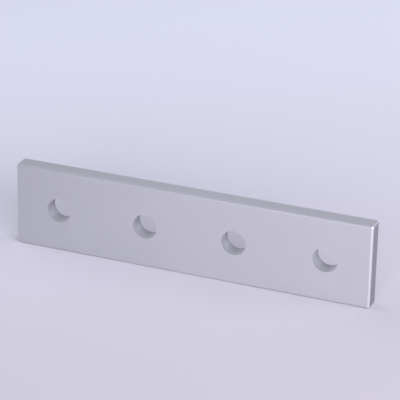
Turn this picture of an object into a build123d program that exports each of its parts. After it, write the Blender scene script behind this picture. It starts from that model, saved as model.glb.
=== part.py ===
from build123d import *
import os

# Straight joining plate for 1 in T-slot framing. It bridges the butt joint between two rails: two of the
# four bolts go into each rail's slot. One piece of flat aluminium bar, sawn to length, drilled, tumbled and
# anodised. All sizes are millimetres.
# The plate stands on its long edge: X runs along the row of holes, Y through the thickness with the
# bolt-head face towards -Y, Z up. The origin is the middle of the edge that it stands on.

# Driving dimensions
hole_pitch = 25.4  # the framing's module, 1 in from bolt to bolt
hole_count = 4  # two for each of the two rails
plate_width = 23.5  # a little under the module, so the edges stay inside the rail's face
plate_thickness = 4.76  # 3/16 in bar
hole_diameter = 7.0  # clearance for a 1/4 in or M6 screw
bar_edge_radius = 0.15  # the bar's own long edges, nearly sharp
end_edge_radius = 0.73  # the four edges round each sawn end, broken and tumbled
end_corner_radius = 0.5  # where two of those edges meet

# Worked out from them
plate_length = hole_count * hole_pitch  # the end holes sit half a pitch from the ends
hole_height = plate_width / 2


def bar_stock():
    """The flat bar at its cut length, from its drawn section."""
    with BuildPart() as bar:
        with BuildSketch(Plane.YZ):
            with Locations((0, plate_width / 2)):
                RectangleRounded(plate_thickness, plate_width, bar_edge_radius)
        extrude(amount=plate_length / 2, both=True)
    return bar.part


def rounded_ends():
    """A block as large as the plate, round along the edges and corners of its two ends only."""
    with BuildPart() as block:
        with BuildSketch(Plane.XZ):
            with Locations((0, plate_width / 2)):
                RectangleRounded(plate_length, plate_width, end_edge_radius)
        extrude(amount=plate_thickness / 2, both=True)
        with BuildSketch(Plane.XY):
            RectangleRounded(plate_length, plate_thickness, end_edge_radius)
        extrude(amount=plate_width, mode=Mode.INTERSECT)
    mitres = block.part.edges().filter_by(GeomType.ELLIPSE)
    return fillet(mitres, end_corner_radius)


def bolt_drills():
    """The row of bolt holes as solid rods, a full thickness proud of each face."""
    with BuildPart() as drills:
        with BuildSketch(Plane.XZ):
            with Locations((0, hole_height)):
                with GridLocations(hole_pitch, hole_pitch, hole_count, 1):
                    Circle(hole_diameter / 2)
        extrude(amount=1.5 * plate_thickness, both=True)
    return drills.part


def joining_plate():
    """The finished plate."""
    plate = (bar_stock() & rounded_ends()) - bolt_drills()
    plate.label = "joining_plate"
    return plate


os.makedirs("parts", exist_ok=True)
export_step(joining_plate(), "parts/joining_plate.step")
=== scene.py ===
# A straight joining plate for T-slot framing, standing on its long edge on a pale table.
# X runs along the row of holes, Y through the thickness with the bolt-head face towards -Y, Z up. Metres.
import math

import bmesh
import bpy
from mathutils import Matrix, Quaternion, Vector

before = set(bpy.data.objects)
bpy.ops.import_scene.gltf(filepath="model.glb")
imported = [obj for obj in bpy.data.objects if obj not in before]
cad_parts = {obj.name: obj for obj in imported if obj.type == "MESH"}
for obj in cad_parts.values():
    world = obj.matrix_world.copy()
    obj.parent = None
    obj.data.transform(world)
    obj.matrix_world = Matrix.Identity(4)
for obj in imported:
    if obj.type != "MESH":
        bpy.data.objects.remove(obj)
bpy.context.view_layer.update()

# Joining plate. One piece of flat aluminium bar, sawn to length, drilled, rounded at its ends, then tumbled and
# clear anodised. Tumbling leaves fine shallow dents all over, so the metal has a soft satin sheen.
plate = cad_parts["joining_plate"]


def linear(hex_colour):
    """An sRGB hex colour as the linear RGBA that Blender's sockets take."""
    channels = [int(hex_colour[i:i + 2], 16) / 255 for i in (1, 3, 5)]
    return [c / 12.92 if c <= 0.04045 else ((c + 0.055) / 1.055) ** 2.4 for c in channels] + [1.0]


def add_node(tree, kind, settings={}, inputs={}):
    """A new node with its settings. An input, by name or place, is set to a value or linked to a socket."""
    node = tree.nodes.new(kind)
    for name, value in settings.items():
        setattr(node, name, value)
    for name, value in inputs.items():
        if isinstance(value, bpy.types.NodeSocket):
            tree.links.new(value, node.inputs[name])
        else:
            node.inputs[name].default_value = value
    return node


tumble_dent = 0.0006  # metres from one tumbling dent to the next
film_patch = 0.012  # metres across the faint patches where the anodised film is thicker
end_round = 0.0007  # metres from each end over which its rounded edges reach
end_skin = 0.00015  # metres from each end that are the sawn face itself
edge_round = 0.0005  # metres, the radius of the solid's long edges
bore_pitch = 0.0254  # metres from one hole to the next
bore_rim = 0.00352  # metres from a hole's axis, just past its wall
half_length = plate.dimensions.x / 2
half_thickness = plate.dimensions.y / 2
plate_height = plate.dimensions.z

satin_anodised = bpy.data.materials.new("satin_anodised_tumbled_aluminium")
satin_anodised.use_nodes = True
tree = satin_anodised.node_tree
tree.nodes.clear()
place = add_node(tree, "ShaderNodeTexCoord").outputs["Object"]
axes = add_node(tree, "ShaderNodeSeparateXYZ", {}, {"Vector": place})
patches = add_node(tree, "ShaderNodeTexNoise", {}, {"Vector": place, "Scale": 1 / film_patch, "Detail": 2.0})
dents = add_node(tree, "ShaderNodeTexNoise", {}, {"Vector": place, "Scale": 1 / tumble_dent, "Detail": 3.0})

# Painted shade greys the anodised film towards the -X end and clears towards the middle, and the film has faint
# patches in it.
painted_shade_along_x = add_node(tree, "ShaderNodeMapRange", {}, {
    "Value": axes.outputs["X"],
    "From Min": -half_length,
    "From Max": 0.0,
})
painted_shade_and_patches = add_node(tree, "ShaderNodeMix", {"data_type": "FLOAT"}, {
    "Factor": 0.3,
    "A": painted_shade_along_x.outputs["Result"],
    "B": patches.outputs["Fac"],
})
film_and_painted_shade_tint = add_node(tree, "ShaderNodeMix", {"data_type": "RGBA"}, {
    "Factor": painted_shade_and_patches.outputs["Result"],
    "A": linear("#C0C0C1"),
    "B": linear("#CDCDCE"),
})

# The rounded edges of both ends are painted a little brighter as a painted highlight, and the sawn flat of each
# end is darker.
from_middle = add_node(tree, "ShaderNodeMath", {"operation": "ABSOLUTE"}, {"Value": axes.outputs["X"]})
painted_end_highlight = add_node(tree, "ShaderNodeMapRange", {}, {
    "Value": from_middle.outputs["Value"],
    "From Min": half_length - end_round,
    "From Max": half_length - end_round / 2,
})
end_painted_highlight_tint = add_node(tree, "ShaderNodeMix", {"data_type": "RGBA"}, {
    "Factor": painted_end_highlight.outputs["Result"],
    "A": film_and_painted_shade_tint.outputs["Result"],
    "B": linear("#D0D0D1"),
})
sawn = add_node(tree, "ShaderNodeMapRange", {}, {
    "Value": from_middle.outputs["Value"],
    "From Min": half_length - end_skin,
    "From Max": half_length,
})
flat_tint = add_node(tree, "ShaderNodeMix", {"data_type": "RGBA"}, {
    "Factor": sawn.outputs["Result"],
    "A": end_painted_highlight_tint.outputs["Result"],
    "B": linear("#A2A2A5"),
})

# The solid's long edges are rounder than meant, so the upper two are toned down to catch less glint, over the
# part of their rounding that turns towards the faces.
from_face = add_node(tree, "ShaderNodeMath", {"operation": "ABSOLUTE"}, {"Value": axes.outputs["Y"]})
at_side = add_node(tree, "ShaderNodeMapRange", {}, {
    "Value": from_face.outputs["Value"],
    "From Min": half_thickness - edge_round * 0.6,
    "From Max": half_thickness - edge_round * 0.2,
})
at_top = add_node(tree, "ShaderNodeMapRange", {}, {
    "Value": axes.outputs["Z"],
    "From Min": plate_height - edge_round,
    "From Max": plate_height - edge_round * 0.7,
})
upper_edges = add_node(tree, "ShaderNodeMath", {"operation": "MULTIPLY"}, {
    0: at_side.outputs["Result"],
    1: at_top.outputs["Result"],
})
edge_tint = add_node(tree, "ShaderNodeMix", {"data_type": "RGBA"}, {
    "Factor": upper_edges.outputs["Value"],
    "A": flat_tint.outputs["Result"],
    "B": linear("#B4B4B5"),
})

# Each hole's wall is paler at its mouth and darker towards the back: painted light at the mouth and painted
# shade deeper in.
one_bore = add_node(tree, "ShaderNodeMath", {"operation": "WRAP"}, {
    0: axes.outputs["X"],
    1: bore_pitch,
    2: 0.0,
})
across_bore = add_node(tree, "ShaderNodeCombineXYZ", {}, {
    "X": one_bore.outputs["Value"],
    "Z": axes.outputs["Z"],
})
from_axis = add_node(tree, "ShaderNodeVectorMath", {"operation": "DISTANCE"}, {
    0: across_bore.outputs["Vector"],
    1: (bore_pitch / 2, 0.0, plate_height / 2),
})
bored = add_node(tree, "ShaderNodeMath", {"operation": "LESS_THAN"}, {
    0: from_axis.outputs["Value"],
    1: bore_rim,
})
inwards = add_node(tree, "ShaderNodeMapRange", {}, {
    "Value": axes.outputs["Y"],
    "From Min": -half_thickness,
    "From Max": half_thickness,
})
bore_painted_light_and_shade = add_node(tree, "ShaderNodeMix", {"data_type": "RGBA"}, {
    "Factor": inwards.outputs["Result"],
    "A": linear("#DEDEDF"),
    "B": linear("#A9A9AB"),
})
metal_tint = add_node(tree, "ShaderNodeMix", {"data_type": "RGBA"}, {
    "Factor": bored.outputs["Value"],
    "A": edge_tint.outputs["Result"],
    "B": bore_painted_light_and_shade.outputs["Result"],
})

# The dents scatter the sheen and stand out in faint relief.
gloss = add_node(tree, "ShaderNodeMapRange", {}, {
    "Value": dents.outputs["Fac"],
    "To Min": 0.47,
    "To Max": 0.57,
})
relief = add_node(tree, "ShaderNodeBump", {}, {
    "Height": dents.outputs["Fac"],
    "Strength": 0.1,
    "Distance": 0.0001,
})
metal = add_node(tree, "ShaderNodeBsdfPrincipled", {}, {
    "Base Color": metal_tint.outputs["Result"],
    "Metallic": 1.0,
    "Roughness": gloss.outputs["Result"],
    "Normal": relief.outputs["Normal"],
})
add_node(tree, "ShaderNodeOutputMaterial", {}, {"Surface": metal.outputs["BSDF"]})
plate.data.materials[0] = satin_anodised

# Table. A wide sheet of matt paper with painted light and shade across it: light grey in front on the right,
# and paler and bluer towards the back on the left.
table_size = 6.0
painted_light_direction = (-0.64, 0.77, 0.0)  # across the table, from the painted shade's darker end to the paler painted-light end
painted_shade_end = -0.118
painted_light_end = 0.247
bm = bmesh.new()
bmesh.ops.create_grid(bm, x_segments=1, y_segments=1, size=table_size / 2)
table_mesh = bpy.data.meshes.new("table")
bm.to_mesh(table_mesh)
bm.free()
table = bpy.data.objects.new("table", table_mesh)
bpy.context.scene.collection.objects.link(table)
paper = bpy.data.materials.new("matt_paper_with_painted_light")
paper.use_nodes = True
tree = paper.node_tree
tree.nodes.clear()
place = add_node(tree, "ShaderNodeTexCoord").outputs["Object"]
across = add_node(tree, "ShaderNodeVectorMath", {"operation": "DOT_PRODUCT"}, {0: place, 1: painted_light_direction})
to_painted_light = add_node(tree, "ShaderNodeMapRange", {"interpolation_type": "SMOOTHSTEP"}, {
    "Value": across.outputs["Value"],
    "From Min": painted_shade_end,
    "From Max": painted_light_end,
})
painted_light_tone = add_node(tree, "ShaderNodeMix", {"data_type": "RGBA"}, {
    "Factor": to_painted_light.outputs["Result"],
    "A": linear("#C1BDBE"),
    "B": linear("#E9EBF1"),
})
sheet = add_node(tree, "ShaderNodeBsdfPrincipled", {}, {
    "Base Color": painted_light_tone.outputs["Result"],
    "Roughness": 1.0,
    "Specular IOR Level": 0.0,
})
add_node(tree, "ShaderNodeOutputMaterial", {}, {"Surface": sheet.outputs["BSDF"]})
table_mesh.materials.append(paper)

# Light. Daylight from a broad low window in front to the right, a brighter pane further right and a small one
# past the plate's end, which cast its soft shadow back and to the left. The left and far walls fill that in.
light_tint = linear("#EEEEFF")
plate_middle = Vector((0, 0, plate_height / 2))


def towards(azimuth, elevation):
    """The direction of a light, from degrees to the right of straight in front and degrees up."""
    turn = math.radians(azimuth)
    climb = math.radians(elevation)
    return Vector((math.sin(turn) * math.cos(climb), -math.cos(turn) * math.cos(climb), math.sin(climb)))


def add_window(name, direction, distance, width, height, energy):
    """A rectangular pane of light that faces the middle of the plate."""
    lamp = bpy.data.lights.new(name, "AREA")
    lamp.shape = "RECTANGLE"
    lamp.size = width
    lamp.size_y = height
    lamp.energy = energy
    lamp.color = light_tint[:3]
    lamp_object = bpy.data.objects.new(name, lamp)
    bpy.context.scene.collection.objects.link(lamp_object)
    lamp_object.location = plate_middle + direction * distance
    lamp_object.rotation_euler = direction.to_track_quat("Z", "Y").to_euler()
    lamp_object.visible_camera = False


room = bpy.data.worlds.new("room")
room.use_nodes = True
tree = room.node_tree
tree.nodes.clear()
look = add_node(tree, "ShaderNodeTexCoord").outputs["Generated"]
level = add_node(tree, "ShaderNodeValue").outputs["Value"]
level.default_value = 0.289
# Each wall's direction, the cosine of the angle away from it at which it fades out, and its brightness.
walls = (
    (towards(-90, 30), 0.6, 1.271),  # the left wall, close by
    (towards(180, 30), 0.0, 0.358),  # the far wall, behind the plate
)
for direction, rim, brightness in walls:
    facing = add_node(tree, "ShaderNodeVectorMath", {"operation": "DOT_PRODUCT"}, {0: look, 1: direction})
    wall = add_node(tree, "ShaderNodeMapRange", {"interpolation_type": "SMOOTHSTEP"}, {
        "Value": facing.outputs["Value"],
        "From Min": rim,
        "To Max": brightness,
    })
    both = add_node(tree, "ShaderNodeMath", {"operation": "ADD"}, {0: level, 1: wall.outputs["Result"]})
    level = both.outputs["Value"]
glow = add_node(tree, "ShaderNodeBackground", {}, {"Color": light_tint, "Strength": level})
add_node(tree, "ShaderNodeOutputWorld", {}, {"Surface": glow.outputs["Background"]})
bpy.context.scene.world = room

add_window("broad_window", towards(27, 16), distance=0.9, width=1.1, height=0.5, energy=11.23)
add_window("bright_pane", towards(60, 20), distance=0.6, width=0.18, height=0.18, energy=1.66)
add_window("end_pane", towards(110, 30), distance=0.6, width=0.27, height=0.27, energy=0.942)

# Camera. A long lens, to the right of straight on and looking down.
view_azimuth = math.radians(21.63)
view_elevation = math.radians(23.84)
view_roll = math.radians(0.99)
view_distance = 0.5422
view_aim = Vector((0.00123, 0.00216, 0.02027))
lens_width = 36.0
camera_data = bpy.data.cameras.new("camera")
camera_data.sensor_width = lens_width
camera_data.lens = 184.0
camera = bpy.data.objects.new("camera", camera_data)
bpy.context.scene.collection.objects.link(camera)
view_direction = Vector((
    -math.sin(view_azimuth) * math.cos(view_elevation),
    math.cos(view_azimuth) * math.cos(view_elevation),
    -math.sin(view_elevation),
))
camera.location = view_aim - view_distance * view_direction
camera.rotation_mode = "QUATERNION"
camera.rotation_quaternion = view_direction.to_track_quat("-Z", "Y") @ Quaternion((0, 0, 1), view_roll)
camera_data.clip_start = 0.01
camera_data.clip_end = 20.0
bpy.context.scene.camera = camera

bpy.context.scene.view_settings.view_transform = "Standard"
